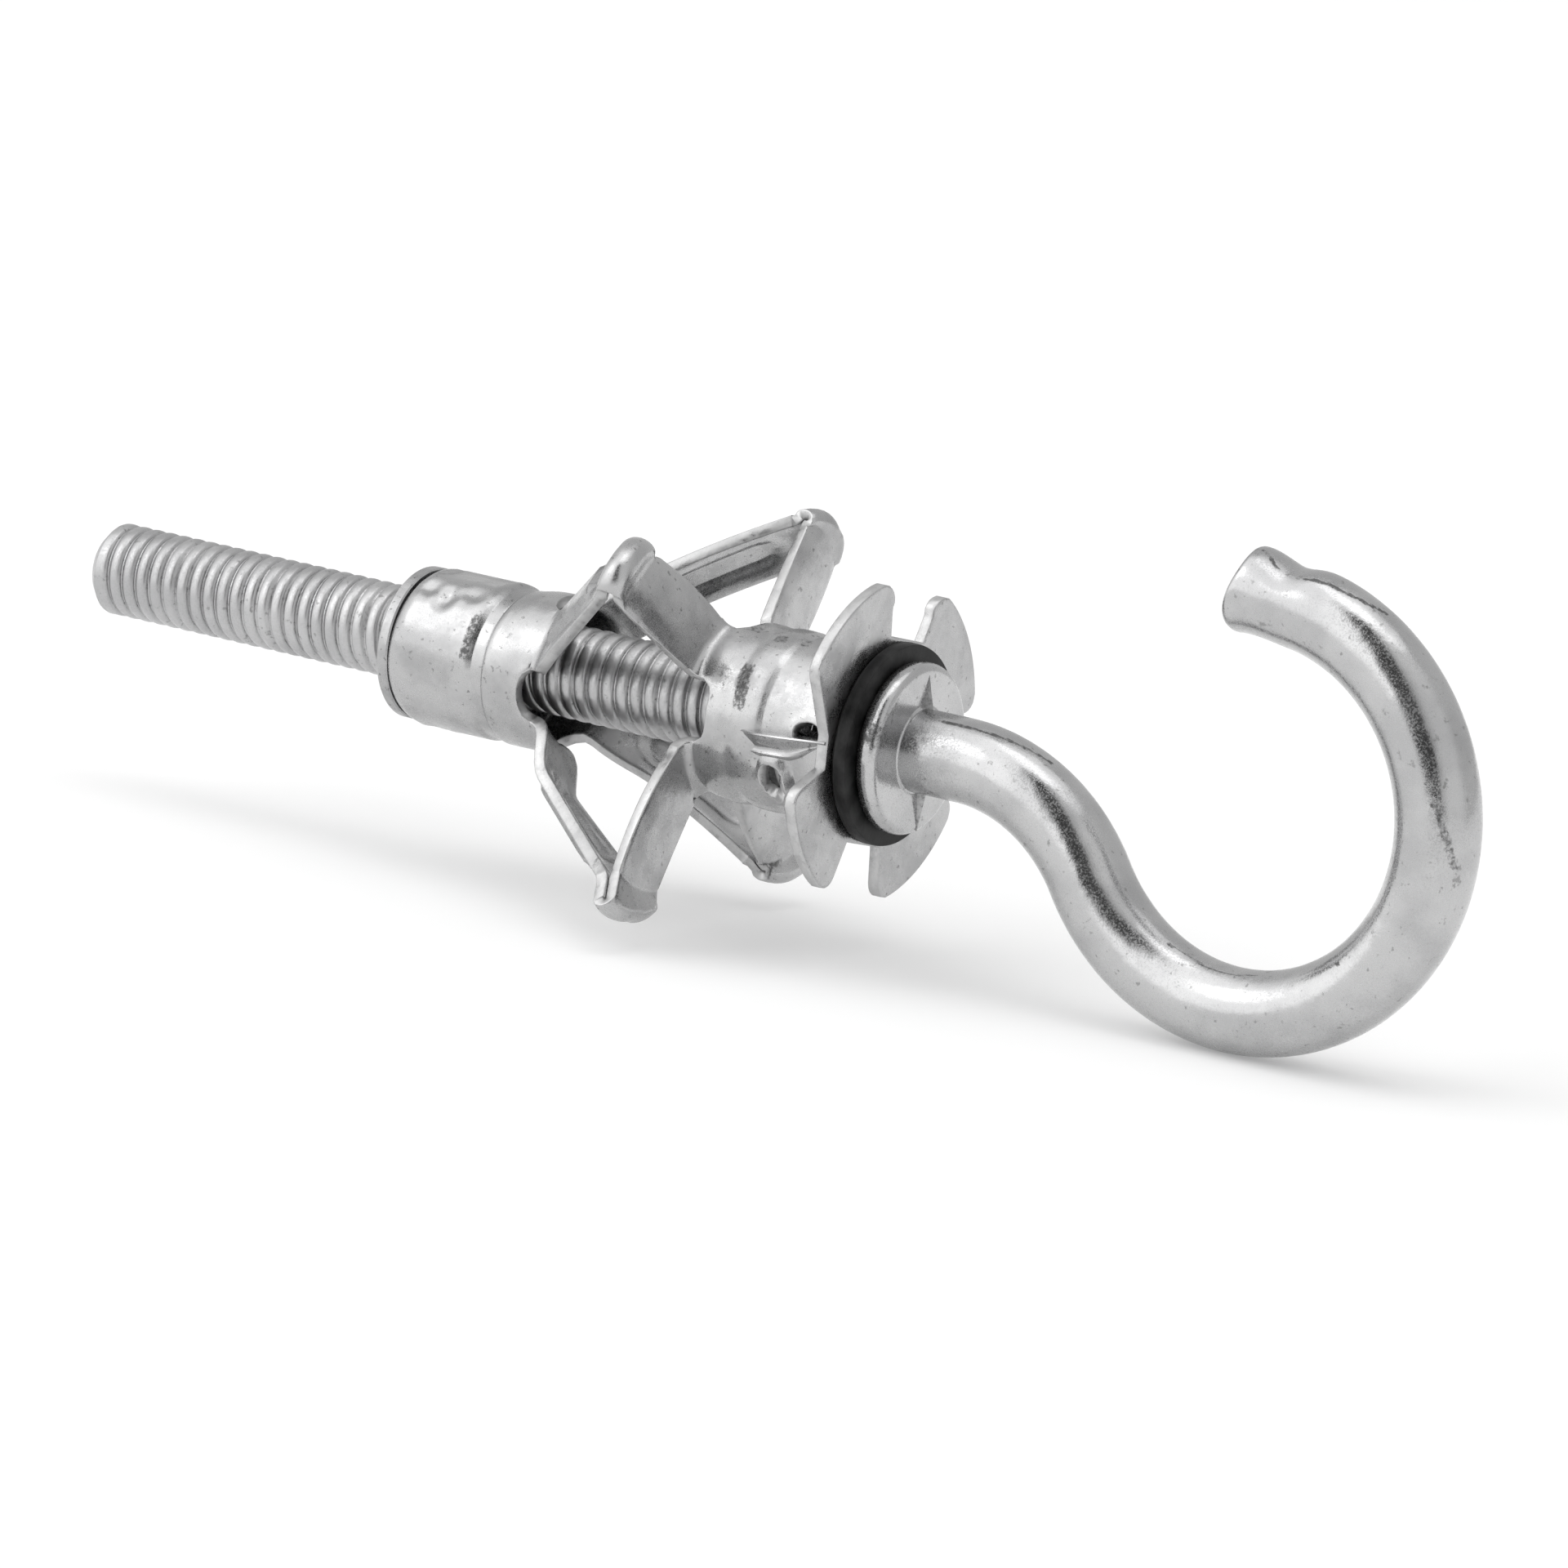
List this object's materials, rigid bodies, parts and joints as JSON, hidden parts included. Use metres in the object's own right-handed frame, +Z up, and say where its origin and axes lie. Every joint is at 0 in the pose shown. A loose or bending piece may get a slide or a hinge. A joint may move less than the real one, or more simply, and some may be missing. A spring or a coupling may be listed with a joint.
{
  "type": "hollow wall anchor hook",
  "caption": "Expanding sleeve anchor for hollow walls, set open, with a threaded screw hook, rubber sealing ring and toothed flange.",
  "frame": {"origin": "on the bolt's axis, in the plane of the flange's wall side", "axes": "+X along the bolt from its threaded tail to the hook, +Z up in the plane of the hook"},
  "size_m": [0.0662, 0.0171, 0.02],
  "materials": {
    "hook_steel": "bright zinc plated round steel",
    "ring_rubber": "moulded black rubber, satin",
    "sleeve_steel": "bright zinc plated sheet steel, pressed",
    "insert_steel": "zinc plated steel"
  },
  "bodies": {
    "sleeve": {"anchor_sleeve": "sleeve_steel", "threaded_insert": "insert_steel"},
    "ring": {"rubber_ring": "ring_rubber"},
    "hook": {"hook_bolt": "hook_steel"}
  },
  "joints": [
    {"name": "hook_travel", "type": "slide", "parent": "sleeve", "child": "ring", "axis": [1, 0, 0], "range_m": [0, 0.01681]},
    {"name": "hook_turn", "type": "hinge", "parent": "ring", "child": "hook", "pos_m": [0, 0, 0], "axis": [1, 0, 0], "range_deg": [0, 8640]}
  ],
  "couplings": [
    {"joint": "hook_travel", "follows": "hook_turn", "m_per_rad": 0.00011141}
  ]
}
